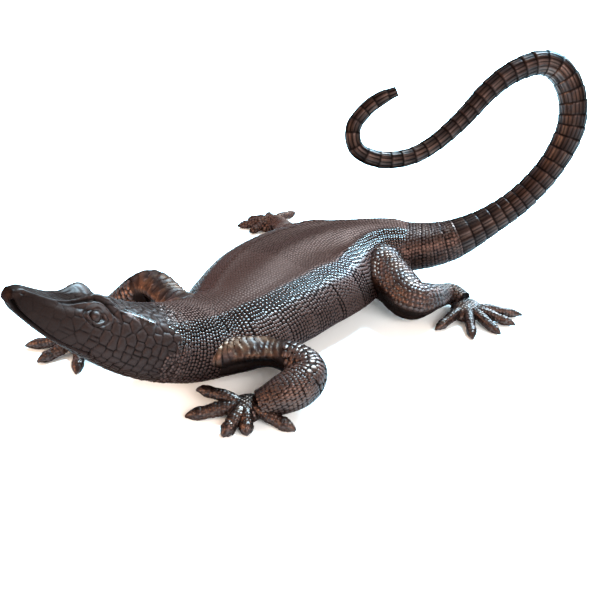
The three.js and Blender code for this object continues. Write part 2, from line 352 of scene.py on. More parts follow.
def head_relief(points):
    """How far the skin stands out at each point for the brows, lips, eyes, nostrils and temples, and how
    polished it is there: 1 on the shiny folds, below 0 in the creases."""
    stand = np.zeros(points.shape[:-1])
    polish = np.zeros(points.shape[:-1])
    for hand in (-1, 1):
        brow = ridge(points, head_line(hand, brow_line), brow_size)
        fold = ridge(points, head_line(hand, lid_fold_line), lid_fold_size)
        crease = ridge(points, head_line(hand, crease_line), crease_size)
        lip_line = head_line(hand, mouth_line)
        lip, _ = line_offsets(points, lip_line, np.zeros((len(lip_line), 1)))
        lips = 0.35 * bump(lip - 1, 0.7) - 0.9 * bump(lip, 0.5)
        eye = on_head(hand, *eye_at)
        before, behind = (on_head(hand, eye_at[0] + step, eye_at[1]) for step in (-0.3, 0.3))
        over, under = (on_head(hand, eye_at[0], eye_at[1] + turn) for turn in (8, -8))
        forward = unit(before - behind)
        upward = unit(over - under - (over - under) @ forward * forward)
        offset = points - eye
        near = bump(np.linalg.norm(offset, axis=-1), 9)
        lengthways = np.abs(offset @ forward / opening_half[0])
        upright = np.abs(offset @ upward / opening_half[1])
        almond = (lengthways**almond_power + upright**almond_power) ** (1 / almond_power)
        lids = 0.7 * bump(almond - 1, 0.19) - 0.9 * bump(almond, 0.72) - 0.35 * bump(almond - 1.33, 0.14)
        lids = (lids + 0.4 * bump(almond - 1.62, 0.16)) * near
        nostril = np.linalg.norm(points - on_head(hand, *nostril_at), axis=-1)
        knob = np.linalg.norm(points - on_head(hand, *nose_knob_at), axis=-1)
        nose = 0.3 * bump(knob, 1.6) - 0.7 * bump(nostril, 0.55)
        stand += brow + fold - crease + lips + lids + nose
        polish += 0.14 * brow + 0.6 * fold - crease - 0.6 * bump(lip, 0.5)
        polish += (0.45 * bump(almond - 1, 0.2) + 0.2 * bump(almond - 1.62, 0.2)) * near
        polish += 0.5 * bump(knob, 1.5)
        for boss_line in temple_bosses:
            boss = ridge(points, head_line(hand, boss_line), temple_size)
            stand += boss
            polish += boss
    return stand, np.clip(polish, -0.7, 1)


def plate_edges(points, middles):
    """How far each point is from the nearest edge between plates grown round the given middles."""
    flat = points.reshape(-1, 3)
    edge = np.empty(len(flat))
    block = 4000
    for start in range(0, len(flat), block):
        some = flat[start : start + block]
        away = ((some[:, None] - middles) ** 2).sum(-1)
        nearest = np.argpartition(away, 3, axis=1)[:, :4]
        away = np.take_along_axis(away, nearest, 1)
        order = np.argsort(away, axis=1)
        away = np.take_along_axis(away, order, 1)
        nearest = np.take_along_axis(nearest, order, 1)
        between = np.linalg.norm(middles[nearest[:, 1:]] - middles[nearest[:, :1]], axis=-1)
        edge[start : start + block] = ((away[:, 1:] - away[:, :1]) / (2 * between)).min(1)
    return edge.reshape(points.shape[:-1])


def rows_of_scales(route, pitch, wide, start=0.0, end=None, jitter=0.0, seed=1, shape=None):
    """Places in rows around a route: (station, angle, length, width, shift) of each. Wide is the width of a
    scale, or a function of station and angle that gives it. Every other row is turned by half a scale.
    Where a bend spreads the rows apart there are more of them, and fewer where it crowds them."""
    chance = np.random.default_rng(seed)
    fine = np.linspace(0, 2 * math.pi, 361)
    places = route.spaced(pitch, start, end)
    rings = route.section(places, fine, shape)
    gaps = np.linalg.norm(np.diff(rings, axis=0, append=2 * rings[-1:] - rings[-2:-1]), axis=-1)
    steps = np.append(np.diff(places), 0)
    found = []
    for row, (place, ring, gap, step) in enumerate(zip(places, rings, gaps, steps)):
        width = wide(place, fine) if callable(wide) else np.full(len(fine), wide)
        along = np.linalg.norm(np.diff(ring, axis=0), axis=1)
        count = np.concatenate([[0], np.cumsum(along / (0.5 * (width[1:] + width[:-1])))])
        whole = max(3, round(count[-1]))
        shift = 0.5 * (row % 2)
        target = (np.arange(whole) + shift + chance.uniform(-jitter, jitter, whole)) % whole
        angle = np.interp(target * count[-1] / whole, count, fine)
        stray = chance.uniform(-jitter, jitter, whole) * pitch
        near = np.interp(angle, fine, gap)
        for turn, across, shifted, room in zip(angle, np.interp(angle, fine, width), stray, near):
            if room < 0.6 * pitch and row % 2:
                continue
            parts = max(1, round(room / pitch))
            length = max(room / parts, pitch)
            found += [(place + step * k / parts, turn, length, across, shifted) for k in range(parts)]
    return np.array(found)


def above_side(angle):
    """Degrees up from the nearer side, from -90 under the belly to 90 on the backbone."""
    return np.degrees(np.arcsin(np.sin(angle)))


def below_fold(place, angle):
    """How far below the flank's fold a place on the trunk is, in millimetres, and negative on the back."""
    away = np.interp(place, flank_fold[:, 0], flank_fold[:, 1])
    half = np.interp(place, np.arange(len(trunk_stations)), trunk_route.stations[:, 3])
    fold_up = np.degrees(np.arccos(np.clip(away / (0.87 * half), 0, 1)))
    lower_on_right = 8 * np.clip(np.cos(angle) * 4, 0, 1)
    return 0.8 * half * np.radians(fold_up - above_side(angle)) - lower_on_right


def head_plate_width(place, angle):
    """Broad plates over the snout, and smaller ones under the throat."""
    return 3.6 - 0.8 * bump(above_side(angle) + 90, 60) + 0.8 * bump(place - 1.5, 1.2)


NECK = 6.4  # the station where the head's finer skin ends
HEAD_STEP = 0.34  # between the rings of points of the head
BODY_STEP = 1.6  # between those of neck and trunk
PLATE_PITCH = 3.4
PLATE_DOME = 0.22
CRACK_DEPTH = 0.34  # of the cracks between the plates
CRACK_HALF = 0.16
head_places = trunk_route.spaced(HEAD_STEP, 0, NECK)
head_angles = np.linspace(0, 2 * math.pi, 200, endpoint=False)
head_points = trunk_route.section(head_places, head_angles, backbone)
stand_out, polished = head_relief(head_points)
plate_rows = rows_of_scales(trunk_route, PLATE_PITCH, head_plate_width, 0.3, NECK + 0.3, jitter=0.85,
                            seed=8)
plate_middles = np.array([trunk_route.section(place, angle)[0, 0] for place, angle, *_ in plate_rows])
plate_edge = plate_edges(head_points, plate_middles)
uneven = 0.65 + 0.35 * np.sin(1.3 * head_points[..., 0]) * np.sin(1.1 * head_points[..., 2])
behind_snout = (head_places[:, None] - 1.4) / 2.4
engraved = bump(plate_edge, CRACK_HALF) * uneven * (1 - 0.6 * polished) * np.clip(behind_snout, 0.12, 1)
domed = np.clip(plate_edge / 1.1, 0, 1) * (1 - polished) * np.clip(behind_snout, 0, 1)
stand_out = stand_out + PLATE_DOME * domed - CRACK_DEPTH * engraved
head_points = head_points + grid_normals(head_points) * stand_out[..., None]
snout_wear = 0.35 * bump(head_places, 1.2)[:, None]
head_crest = 0.1 + 0.26 * np.clip((head_places[:, None] - 0.8) / 3, 0, 1)
head_crest = np.clip(head_crest + 0.5 * polished - 0.7 * engraved, 0, 1)
head_shell = (head_points, head_crest, snout_wear, 0.62 * (1 - polished))

body_places = trunk_route.spaced(BODY_STEP, NECK - 0.2)
body_angles = np.linspace(0, 2 * math.pi, 120, endpoint=False)
body_points = trunk_route.section(body_places, body_angles, backbone)
body_rings = body_places[:, None]
body_below = below_fold(body_rings, body_angles)
smooth_back = np.clip((0.5 - body_below) / 2, 0, 1) * np.clip((body_rings - 7) / 2, 0, 1)
# A painted sheen: in the band below the fold the skin between the beads is made lighter, where the cool
# softbox's highlight falls, and less dusty, so it is also glossier
painted_band_sheen = bump(body_below - 3.5, 4) * np.clip((body_rings - 9) / 3, 0, 1)
body_crest_and_sheen = np.maximum(0.6 * smooth_back, 0.45 * painted_band_sheen)
body_dust = 0.5 + 0.5 * smooth_back - 0.4 * painted_band_sheen
trunk_shell = (body_points, body_crest_and_sheen, 0.0, body_dust)


def add(tree, kind, settings=None, values=None, links=None):
    """Adds a node to a tree with its settings, its inputs' values and its links."""
    node = tree.nodes.new(kind)
    for name, value in (settings or {}).items():
        setattr(node, name, value)
    for name, value in (values or {}).items():
        node.inputs[name].default_value = value
    for name, source in (links or {}).items():
        tree.links.new(source, node.inputs[name])
    return node


# Brown patina on cast bronze: chemical brown over a yellow-brown metal, waxed. It is nearly black in the
# grooves, glossy where it stands out, dull and redder where dust has set in the wax, and rubbed through to
# a warm brown where hands and cloths have worn it. The crest value that darkens the grooves also carries
# painted light and shade: a painted sheen on the flank's band, a painted highlight over the tail's bend,
# and the upper limbs lighter on top and near black underneath.
def patinated_bronze():
    material = bpy.data.materials.new("waxed_brown_bronze")
    material.use_nodes = True
    tree = material.node_tree
    shader = tree.nodes["Principled BSDF"]
    place = add(tree, "ShaderNodeTexCoord").outputs["Object"]
    crest_and_painted_light = add(tree, "ShaderNodeAttribute", {"attribute_name": "crest_and_painted_light"}).outputs["Fac"]
    wear = add(tree, "ShaderNodeAttribute", {"attribute_name": "wear"}).outputs["Fac"]
    dust = add(tree, "ShaderNodeAttribute", {"attribute_name": "dust"}).outputs["Fac"]
    cloud_size = 14 * MM  # from one shade of brown to the next
    patch_size = 5 * MM  # where the patina is rubbed through
    speck_size = 1.1 * MM  # the small lumps left by the wax model
    grain_size = 0.35 * MM  # the cast skin's pits, really 0.1 mm, drawn as coarse as they need to show
    blend = {"data_type": "RGBA"}
    times = {"operation": "MULTIPLY"}
    scaled = {"operation": "MULTIPLY_ADD"}
    here = {"Vector": place}
    clouds = add(tree, "ShaderNodeTexNoise", values={"Scale": 1 / cloud_size, "Detail": 4}, links=here)
    patches = add(tree, "ShaderNodeTexNoise", values={"Scale": 1 / patch_size, "Detail": 3}, links=here)
    specks = add(tree, "ShaderNodeTexNoise", values={"Scale": 1 / speck_size, "Detail": 2}, links=here)
    grain = add(tree, "ShaderNodeTexNoise", values={"Scale": 1 / grain_size, "Detail": 1}, links=here)
    brown = add(tree, "ShaderNodeMix", blend, links={0: clouds.outputs["Fac"]})
    brown.inputs["A"].default_value = colour("#231410")
    brown.inputs["B"].default_value = colour("#39231b")
    dusty = add(tree, "ShaderNodeMix", blend, links={0: dust, "A": brown.outputs["Result"]})
    dusty.inputs["B"].default_value = colour("#452e28")
    # The crest value takes the colour towards near black: the patina in the grooves, and painted shade
    # under the limbs; raised values give the painted sheen and highlights
    toned = add(tree, "ShaderNodeMix", blend, links={0: crest_and_painted_light, "B": dusty.outputs["Result"]})
    toned.inputs["A"].default_value = colour("#0d0807")
    rubbed = add(tree, "ShaderNodeMapRange", values={"From Min": 0.42, "From Max": 0.62},
                 links={"Value": patches.outputs["Fac"]})
    bare = add(tree, "ShaderNodeMath", times, links={0: wear, 1: rubbed.outputs[0]})
    bared = add(tree, "ShaderNodeMath", times, links={0: bare.outputs[0], 1: crest_and_painted_light})
    worn = add(tree, "ShaderNodeMix", blend, links={0: bared.outputs[0], "A": toned.outputs["Result"]})
    worn.inputs["B"].default_value = colour("#6a432c")
    tree.links.new(worn.outputs["Result"], shader.inputs["Base Color"])
    gloss = add(tree, "ShaderNodeMapRange", values={"To Min": 0.45, "To Max": 0.2}, links={"Value": crest_and_painted_light})
    dull = add(tree, "ShaderNodeMath", scaled, {1: 0.3}, {0: dust, 2: gloss.outputs[0]})
    uneven = add(tree, "ShaderNodeMath", scaled, {1: 0.2, 2: -0.1}, {0: clouds.outputs["Fac"]})
    rough = add(tree, "ShaderNodeMath", {"operation": "ADD"},
                links={0: dull.outputs[0], 1: uneven.outputs[0]})
    tree.links.new(rough.outputs[0], shader.inputs["Roughness"])
    shader.inputs["Metallic"].default_value = 0.95
    shader.inputs["Specular Tint"].default_value = colour("#8f7468")
    bright = add(tree, "ShaderNodeMath", scaled, {1: -0.58, 2: 0.65}, {0: dust})
    haze = add(tree, "ShaderNodeMath", scaled, {1: 0.3, 2: 0.2}, {0: dust})
    waxed = add(tree, "ShaderNodeMath", times, links={0: bright.outputs[0], 1: crest_and_painted_light})
    tree.links.new(waxed.outputs[0], shader.inputs["Coat Weight"])
    tree.links.new(haze.outputs[0], shader.inputs["Coat Roughness"])
    pitted = add(tree, "ShaderNodeBump", values={"Strength": 0.3, "Distance": 0.1 * MM},
                 links={"Height": grain.outputs["Fac"]})
    lumpy = add(tree, "ShaderNodeBump", values={"Strength": 0.4, "Distance": 0.3 * MM},
                links={"Height": specks.outputs["Fac"], "Normal": pitted.outputs["Normal"]})
    tree.links.new(lumpy.outputs["Normal"], shader.inputs["Normal"])
    return material


bronze = patinated_bronze()


def tree_of_scales():
    """Stands a scale on the skin at each marked place, and gives skin and scales the finish."""
    height_seed = 5
    tree = bpy.data.node_groups.new("scales_on_skin", "GeometryNodeTree")
    sockets = {}
    for name, kind in (("Skin", "Geometry"), ("Scale places", "Object"), ("Scale shape", "Object"),
                       ("Height spread", "Float"), ("Finish", "Material")):
        sockets[name] = tree.interface.new_socket(name, in_out="INPUT", socket_type="NodeSocket" + kind)
    tree.interface.new_socket("Casting", in_out="OUTPUT", socket_type="NodeSocketGeometry")
    given = add(tree, "NodeGroupInput").outputs
    places = add(tree, "GeometryNodeObjectInfo", links={"Object": given["Scale places"]})
    shape = add(tree, "GeometryNodeObjectInfo", links={"Object": given["Scale shape"]})
    vector = {"data_type": "FLOAT_VECTOR"}
    outward = add(tree, "GeometryNodeInputNamedAttribute", vector, {"Name": "outward"}).outputs["Attribute"]
    ahead = add(tree, "GeometryNodeInputNamedAttribute", vector, {"Name": "ahead"}).outputs["Attribute"]
    size = add(tree, "GeometryNodeInputNamedAttribute", vector, {"Name": "size"}).outputs["Attribute"]
    turn = add(tree, "FunctionNodeAxesToRotation", {"primary_axis": "Z", "secondary_axis": "X"},
               links={"Primary Axis": outward, "Secondary Axis": ahead})
    low = add(tree, "ShaderNodeMath", {"operation": "SUBTRACT"}, {0: 1.0}, {1: given["Height spread"]})
    high = add(tree, "ShaderNodeMath", {"operation": "ADD"}, {0: 1.0}, {1: given["Height spread"]})
    chance = add(tree, "FunctionNodeRandomValue", {"data_type": "FLOAT"}, {"Seed": height_seed},
                 {2: low.outputs[0], 3: high.outputs[0]})
    stretch = add(tree, "ShaderNodeCombineXYZ", values={"X": 1.0, "Y": 1.0}, links={"Z": chance.outputs[1]})
    grown = add(tree, "ShaderNodeVectorMath", {"operation": "MULTIPLY"},
                links={0: size, 1: stretch.outputs[0]})
    scales = add(tree, "GeometryNodeInstanceOnPoints",
                 links={"Points": places.outputs["Geometry"], "Instance": shape.outputs["Geometry"],
                        "Rotation": turn.outputs[0], "Scale": grown.outputs[0]})
    real = add(tree, "GeometryNodeRealizeInstances", links={"Geometry": scales.outputs[0]})
    joined = add(tree, "GeometryNodeJoinGeometry")
    tree.links.new(given["Skin"], joined.inputs[0])
    tree.links.new(real.outputs[0], joined.inputs[0])
    smooth = add(tree, "GeometryNodeSetShadeSmooth", links={"Geometry": joined.outputs[0]})
    finished = add(tree, "GeometryNodeSetMaterial",
                   links={"Geometry": smooth.outputs[0], "Material": given["Finish"]})
    add(tree, "NodeGroupOutput", links={0: finished.outputs[0]})
    return tree, {name: socket.identifier for name, socket in sockets.items()}


scale_tree, scale_sockets = tree_of_scales()


def scale_shape(name, outline, rings, rear=0.0, boxy=2.0):
    """One scale, a unit from its middle to its edges and one high. Outline is the bearings of its corners
    in degrees, and rings are (reach, height) from its foot up. Rear lifts its free edge, and boxy squares
    its outline."""
    angles = np.radians(outline)
    sides = len(outline)
    reach = (np.abs(np.cos(angles)) ** boxy + np.abs(np.sin(angles)) ** boxy) ** (-1 / boxy)
    across, along = np.sin(angles) * reach, np.cos(angles) * reach
    points, crest_and_painted_light = [], []
    for k, (share, height) in enumerate(rings):
        lean = 0 if k == 0 else rear
        points += [(a * share, c * share, height + lean * a * share) for a, c in zip(along, across)]
        crest_and_painted_light += [0.0 if k == 0 else 0.75] * sides
    points.append((0, 0, 1))
    crest_and_painted_light.append(1.0)
    top = len(points) - 1
    faces = [tuple(range(sides))[::-1]]
    for k in range(len(rings) - 1):
        for j in range(sides):
            a, b = k * sides + j, k * sides + (j + 1) % sides
            faces.append((a, b, b + sides, a + sides))
    last = (len(rings) - 1) * sides
    faces += [(last + j, last + (j + 1) % sides, top) for j in range(sides)]
    mesh = bpy.data.meshes.new(name)
    mesh.from_pydata(points, [], faces)
    mesh.attributes.new("crest_and_painted_light", "FLOAT", "POINT").data.foreach_set("value", crest_and_painted_light)
    mesh.shade_smooth()
    return mesh


def skin_tree(points):
    """A search tree over the rings of a shell, in the stations' millimetres."""
    faces = ring_faces(*ring_numbers(*points.shape[:2]))
    return BVHTree.FromPolygons(points.reshape(-1, 3).tolist(), faces)


def depth_in(tree, point):
    """How deep a point lies inside a shell, in millimetres; negative outside it."""
    found, normal, _, away = tree.find_nearest(point)
    depth = (found - point).dot(normal)
    return depth if depth > 0.7 * away else -away


SOLE = 0.3  # below this the casting is ground flat and has no scales
BURIED = 0.6  # a scale that is deeper in another shell is left out


def marks_on(shell, route, rows, height, wear=0.0, dust=0.0, overlap=1.05, hidden_by=(), shape=None):
    """The place, outward and rearward directions, size, wear and dust of each scale of some rows on a
    shell. Height, wear and dust are one value for all the scales, or one for each."""
    tree = skin_tree(shell[0])
    near = np.searchsorted(route.dense, rows[:, 0]).clip(0, len(route.dense) - 1)
    looks = np.stack([np.broadcast_to(values, len(rows)) for values in (height, wear, dust)], -1)
    marks = []
    for row, way, (high, worn, dull) in zip(rows, route.ahead[near], looks):
        place, angle, length, width, stray = row
        spot = route.section(place, angle, shape)[0, 0] + way * stray
        found, normal, _, _ = tree.find_nearest(Vector(spot))
        if found.z < SOLE or any(depth_in(other, found) > BURIED for other in hidden_by):
            continue
        marks.append((*found, *normal, *way, length / 2 * overlap, width / 2 * overlap, high, worn, dull))
    return np.array(marks)


def stand_in_place(piece):
    mesh = piece.data
    corners = np.zeros(len(mesh.vertices) * 3, np.float32)
    mesh.vertices.foreach_get("co", corners)
    corners[2::3] = np.maximum(corners[2::3], 0)
    mesh.vertices.foreach_set("co", corners)
    mesh.update()
    mesh.calc_loop_triangles()
    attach(piece, "root")
    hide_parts("lizard")


def cast_piece(name, shells, marks, shape, spread):
    """One plain mesh of some shells, with scales standing at the marks, that is a part of the casting."""
    marked = bpy.data.meshes.new(name + "_places")
    marked.from_pydata(((marks[:, :3] - CASTING_MIDDLE) * MM).tolist(), [], [])
    vectors = (("outward", marks[:, 3:6]), ("ahead", marks[:, 6:9]), ("size", marks[:, 9:12] * MM))
    for field, values in vectors:
        layer = marked.attributes.new(field, "FLOAT_VECTOR", "POINT")
        layer.data.foreach_set("vector", values.astype(np.float32).ravel())
    for field, values in (("wear", marks[:, 12]), ("dust", marks[:, 13])):
        layer = marked.attributes.new(field, "FLOAT", "POINT")
        layer.data.foreach_set("value", values.astype(np.float32))
    piece = new_object(name, shells_mesh(name, shells))
    places = new_object(name + "_places", marked)
    one_scale = new_object(name + "_shape", shape)
    scales = piece.modifiers.new("scales", "NODES")
    scales.node_group = scale_tree
    for socket, value in (("Scale places", places), ("Scale shape", one_scale), ("Height spread", spread),
                          ("Finish", bronze)):
        scales[scale_sockets[socket]] = value
    seen = bpy.context.evaluated_depsgraph_get()
    made = bpy.data.meshes.new_from_object(piece.evaluated_get(seen))
    piece.modifiers.clear()
    piece.data = made
    for thing in (places, one_scale):
        bpy.data.objects.remove(thing)
    stand_in_place(piece)
    print(name, len(marks), "scales", len(made.loop_triangles), "triangles")


hexagon = [30, 90, 150, 210, 270, 330]
bead = scale_shape("bead", hexagon, [(1.0, -0.6), (0.72, 0.55)])
SHOULDER = 5.7  # the station where the small beads begin behind the head's plates
BACK = 11.0  # the station in the middle of the back where the two lengths of skin meet
RUMP = 15.8  # the station where they end under the tail's skin
BEAD_PITCH = 1.35
BEAD_SPREAD = 0.25  # how much more or less a bead may stand out, as a share of its height


def trunk_width(place, angle):
    """Small beads on the back, and wider ones down the flank and under the belly."""
    long = np.clip((place - 8) / 2.5, 0, 1) * np.clip(14 - place, 0, 1)
    long = long * bump(below_fold(place, angle) - 7, 7)
    return 1.3 + 0.8 * long + 1.3 * bump(above_side(angle) + 90, 50)


def trunk_height(place, angle):
    """Beads that stand highest in the band below the fold, and grow lower towards the hips."""
    below = below_fold(place, angle)
    top = np.clip((0.5 - below) / 2, 0, 1)
    back = 0.2 - 0.14 * np.clip((place - 7.5) / 2, 0, 1)
    band = 0.36 - 0.2 * np.clip((place - 10) / 2, 0, 1)
    flank = 0.17 - 0.09 * np.clip((place - 8) / 2, 0, 1) + band * bump(below - 3, 3.2)
    behind_plates = np.clip((place - SHOULDER) / 0.5, 0.3, 1)
    return ((1 - top) * flank + top * back) * behind_plates


def trunk_dust(place, angle):
    """Dull over the back and low on the flank, with the glossy band between them."""
    below = below_fold(place, angle)
    back = np.clip((0.8 - below) / 1.6, 0, 1) * np.clip((place - 4.8) / 1.5, 0.15, 1)
    return back + 0.75 * np.clip((below - 6) / 4, 0, 1)


def trunk_marks(rows, shell):
    """The marks of some rows of beads on a shell of head or trunk."""
    place, angle = rows[:, 0], rows[:, 1]
    height, dust = trunk_height(place, angle), trunk_dust(place, angle)
    return marks_on(shell, trunk_route, rows, height, dust=dust, overlap=1.1, shape=backbone)


beads = rows_of_scales(trunk_route, BEAD_PITCH, trunk_width, SHOULDER - 0.3, RUMP, jitter=0.1, seed=3,
                       shape=backbone)
beads = beads[beads[:, 0] > SHOULDER + 0.2 * np.sin(5 * beads[:, 1]) + 0.1 * np.sin(17 * beads[:, 1])]
on_neck = beads[beads[:, 0] < NECK - 0.1]
on_fore = beads[(beads[:, 0] >= NECK - 0.1) & (beads[:, 0] < BACK)]
on_hind = beads[beads[:, 0] >= BACK]
fore_marks = np.concatenate([trunk_marks(on_neck, head_shell), trunk_marks(on_fore, trunk_shell)])
cast_piece("chest", [trunk_shell], fore_marks, bead, BEAD_SPREAD)
behind = np.searchsorted(body_places, BACK) - 2
hip_shell = (body_points[behind:], trunk_shell[1][behind:], 0.0, trunk_shell[3][behind:])
cast_piece("hips", [hip_shell], trunk_marks(on_hind, trunk_shell), bead, BEAD_SPREAD)


def ball_rings(sides):
    """Rings of points over a ball of radius one, from its forward end to its rear end."""
    around = np.linspace(0, 2 * math.pi, sides, endpoint=False)
    turn, tip = np.meshgrid(around, np.linspace(0.1, math.pi - 0.1, 16))
    return np.stack([-np.cos(tip), np.sin(tip) * np.cos(turn), np.sin(tip) * np.sin(turn)], -1)


eyeballs = [on_head(hand, *eye_at, -eye_sunk) + ball_rings(24) * eye_radius for hand in (-1, 1)]
eyes = [(eyeball, 0.4, 0.0, 0.5) for eyeball in eyeballs]  # with their crest, wear and dust
plain_head = new_object("head", shells_mesh("head", [head_shell, *eyes]))
plain_head.data.materials.append(bronze)
stand_in_place(plain_head)

# Tail
# A long bronze whip, cast in one with the hips, that curls up over them and forward to a blunt tip. Rings
# of oblong scales step along it, each with its rear edge standing over the next.
tail_stations = [
    station(55, 0, 18, 17, 8.5, 10.5),
    station(65, -7.5, 18.6, 15.3, 9.6, 12, 2.1, 0.15),
    station(73.8, -18.7, 19.8, 12, 9.4, 11.3),
    station(82.1, -27, 22.8, 9.5, 8.7, 9.8),
    station(95, -35.2, 29, 7.2),
    station(108.4, -42.8, 38.6, 6.5),
    station(119.6, -49.2, 52.9, 6.3),
    station(127.1, -51.7, 68.9, 6.6),
    station(128.8, -48.8, 82.9, 6.5),
    station(126.4, -42.4, 92.8, 6.2),
    station(120.3, -35.8, 95.9, 5.7),
    station(109, -29, 92.2, 5.1),
    station(98.5, -24.5, 85, 4.7),
    station(88, -20.8, 75.4, 4.3),
    station(75, -16.5, 66.6, 4),
    station(63.6, -11.6, 62, 3.9),
    station(52.2, -4.8, 62, 3.8),
    station(45.5, 2.5, 66.5, 3.6),
    station(46, 5.4, 75, 3.5),
    station(51.7, 3.7, 81.8, 3.3),
    station(57, 0.2, 86.2, 3.1),
    station(62, -4, 89, 2.2),
]
tail_route = Route(tail_stations)


def drawn_in(points, share):
    """The rings of a shell, each drawn in towards its middle."""
    middle = points.mean(1, keepdims=True)
    return middle + (points - middle) * share


TAIL_RING = 5.6  # from one ring of scales to the next along the free tail
TAIL_SCALE = 1.9  # across one scale
TAIL_STEP = 0.36  # how far a ring's rear edge stands over the next ring
TAIL_GROOVE = 0.2  # how deep the lines between scales are
TAIL_STRAY = 0.06  # how far one scale stands out more or less than another
TAIL_DRAWN = 0.968  # the share that it is drawn in to, so that it stays inside the CAD model's box
tail_places = tail_route.spaced(0.4)
tail_angles = np.linspace(0, 2 * math.pi, 88, endpoint=False)
tail_points = tail_route.section(tail_places, tail_angles)
tail_distance = np.interp(tail_places, tail_route.dense, tail_route.distance)
ring_length = TAIL_RING + 0.5 * np.sin(tail_places * 2.3) + 0.4 * np.sin(tail_places * 5.1)
ring_number = np.cumsum(np.gradient(tail_distance) / ring_length)
ring_share = ring_number % 1
ring_index = np.floor(ring_number).astype(int)
girth = np.linalg.norm(np.roll(tail_points, -1, 1) - tail_points, axis=-1).sum(1)
first_of_ring = np.searchsorted(ring_number, ring_index)
scales_round = np.round(girth / TAIL_SCALE)[first_of_ring][:, None]
across = tail_angles / (2 * math.pi) * scales_round + 0.5 * (ring_index % 2)[:, None]
seam = (0.5 - np.abs(across % 1 - 0.5)) * girth[:, None] / scales_round
step = np.minimum(ring_share, 1 - ring_share) * ring_length
fade_in = np.clip((tail_places - 1.6) / 3, 0.1, 1)[:, None] * np.clip((girth - 14) / 20, 0.3, 1)[:, None]
chance = np.random.default_rng(11)
stray = chance.uniform(-TAIL_STRAY, TAIL_STRAY, (ring_index.max() + 2, 100))
odd = stray[ring_index[:, None], np.floor(across).astype(int) % 97]
tail_groove = np.maximum(0.8 * bump(seam, 0.3), bump(step, 0.35)[:, None])
lift = TAIL_STEP * (ring_share[:, None] - 1) - TAIL_GROOVE * tail_groove + odd
tail_points = tail_points + grid_normals(tail_points) * (lift * fade_in)[..., None]
tail_crest_and_highlight = np.clip(0.25 + 0.5 * ring_share[:, None] + 2 * odd - 0.8 * tail_groove, 0, 1)
# A painted highlight: over the top of the tail's bend the skin is made lighter, and less dusty so glossier,
# where the cool glint falls
painted_bend_highlight = bump(tail_places[:, None] - 9, 1.3) * bump(above_side(tail_angles) - 60, 50)
tail_crest_and_highlight = np.clip(0.75 * tail_crest_and_highlight + 0.5 * painted_bend_highlight * (1 - tail_groove), 0, 1)
tail_shell = (drawn_in(tail_points, TAIL_DRAWN), tail_crest_and_highlight, 0.2, 0.35 * (1 - painted_bend_highlight))

ROOT_PITCH = 1.5  # of the small beads where the tail leaves the hips
ROOT_WIDTH = 1.6
root_rows = rows_of_scales(tail_route, ROOT_PITCH, ROOT_WIDTH, 0.9, 3.0, jitter=0.16, seed=13)
root_height = 0.08 * np.clip(1.3 - root_rows[:, 0] / 2.6, 0.1, 1)
root_marks = marks_on(tail_shell, tail_route, root_rows, root_height, wear=0.1, dust=0.7)
cast_piece("tail", [tail_shell], root_marks, bead, 0.3)

# Arms and legs
# Four bronze limbs, cast with the body and bent as in a slow walk. The upper arms lie in folds, with knobs
# in front, and scales overlap towards the toes below the elbow and over the leg. Each limb ends in a flat
# palm with five scaly toes that taper to claws, and the far hind leg is dull all over.

# Of each limb: its stations from the body out, the palm's middle, how dull it is, and of each toe the place
# and the height of its tip and half its thickness
limbs = {
    "left_arm": {
        "path": [station(-62, -6, 15.5, 5), station(-52, -14, 16.5, 6), station(-44.5, -19.7, 16.6, 5.6),
                 station(-38.5, -24.3, 16.2, 5.1), station(-33.2, -29, 15.5, 5.6),
                 station(-30, -35, 14, 6.6), station(-30.4, -41, 12, 7.4), station(-36, -42.8, 10, 8),
                 station(-43.5, -40.6, 8.2, 7.1), station(-50, -36.3, 5.5, 5.3)],
        "palm": (-53, -32.5),
        "dull": 0.3,
        "toes": [(-61, -14.5, 5.5, 2.3), (-69.5, -18, 0, 2.7), (-67.6, -36, 0, 2.8), (-61.4, -41.5, 0, 2.7),
                 (-47.6, -52, 0, 2.6)],
    },
    "right_arm": {
        "path": [station(-46, 4, 18, 6.5), station(-44, 18, 22.4, 7), station(-45, 31.5, 25.2, 7.2),
                 station(-53.6, 40, 17, 6.5), station(-62.6, 44, 9, 5.6), station(-68, 46.5, 5.5, 4.8)],
        "palm": (-69, 47),
        "dull": 0.3,
        "toes": [(-85.6, 65, 0, 2.4), (-88.3, 51, 0, 2.5), (-82, 33, 0, 2.5), (-67.5, 30, 0, 2.3),
                 (-74, 63.5, 0, 2.3)],
    },
    "left_leg": {
        "path": [station(52, -2, 15, 8.5), station(45.5, -16, 14.5, 9.6), station(40.5, -27, 13.2, 9.8),
                 station(39, -35.5, 11.2, 9), station(46, -38.5, 9.8, 7.2), station(57, -38.3, 7, 5.3),
                 station(63, -40, 6, 4.8), station(62.5, -46, 5, 4.5)],
        "palm": (60, -50),
        "dull": 0.3,
        "toes": [(40.6, -48, 0, 2.2), (45.4, -63.3, 0, 2.2), (56.5, -69.6, 0, 2.2), (67.2, -70.2, 0, 2.1),
                 (76.6, -68, 0, 2)],
    },
    "right_leg": {
        "path": [station(50, 4, 17, 10.5), station(46, 22, 15.5, 10), station(44, 36, 13, 8.8),
                 station(48, 47, 10, 7.2), station(56, 55.5, 7.5, 5.4), station(60, 62, 6, 4.6),
                 station(62, 68, 5.5, 4.6), station(64, 74, 4.5, 4.2)],
        "palm": (64, 75),
        "dull": 0.95,
        "toes": [(51.5, 78.5, 0, 2.2), (52.5, 89, 0, 2.3), (62.5, 91.5, 0, 2.2), (74.5, 88, 0, 2.1),
                 (86.5, 79, 0, 2.1)],
    },
}
PALM_HALF = (7.5, 6.6, 4.2)
PALM_HEIGHT = 3.2
HOLLOW_REACH = 4.0  # how far off the body a limb begins to swell into it
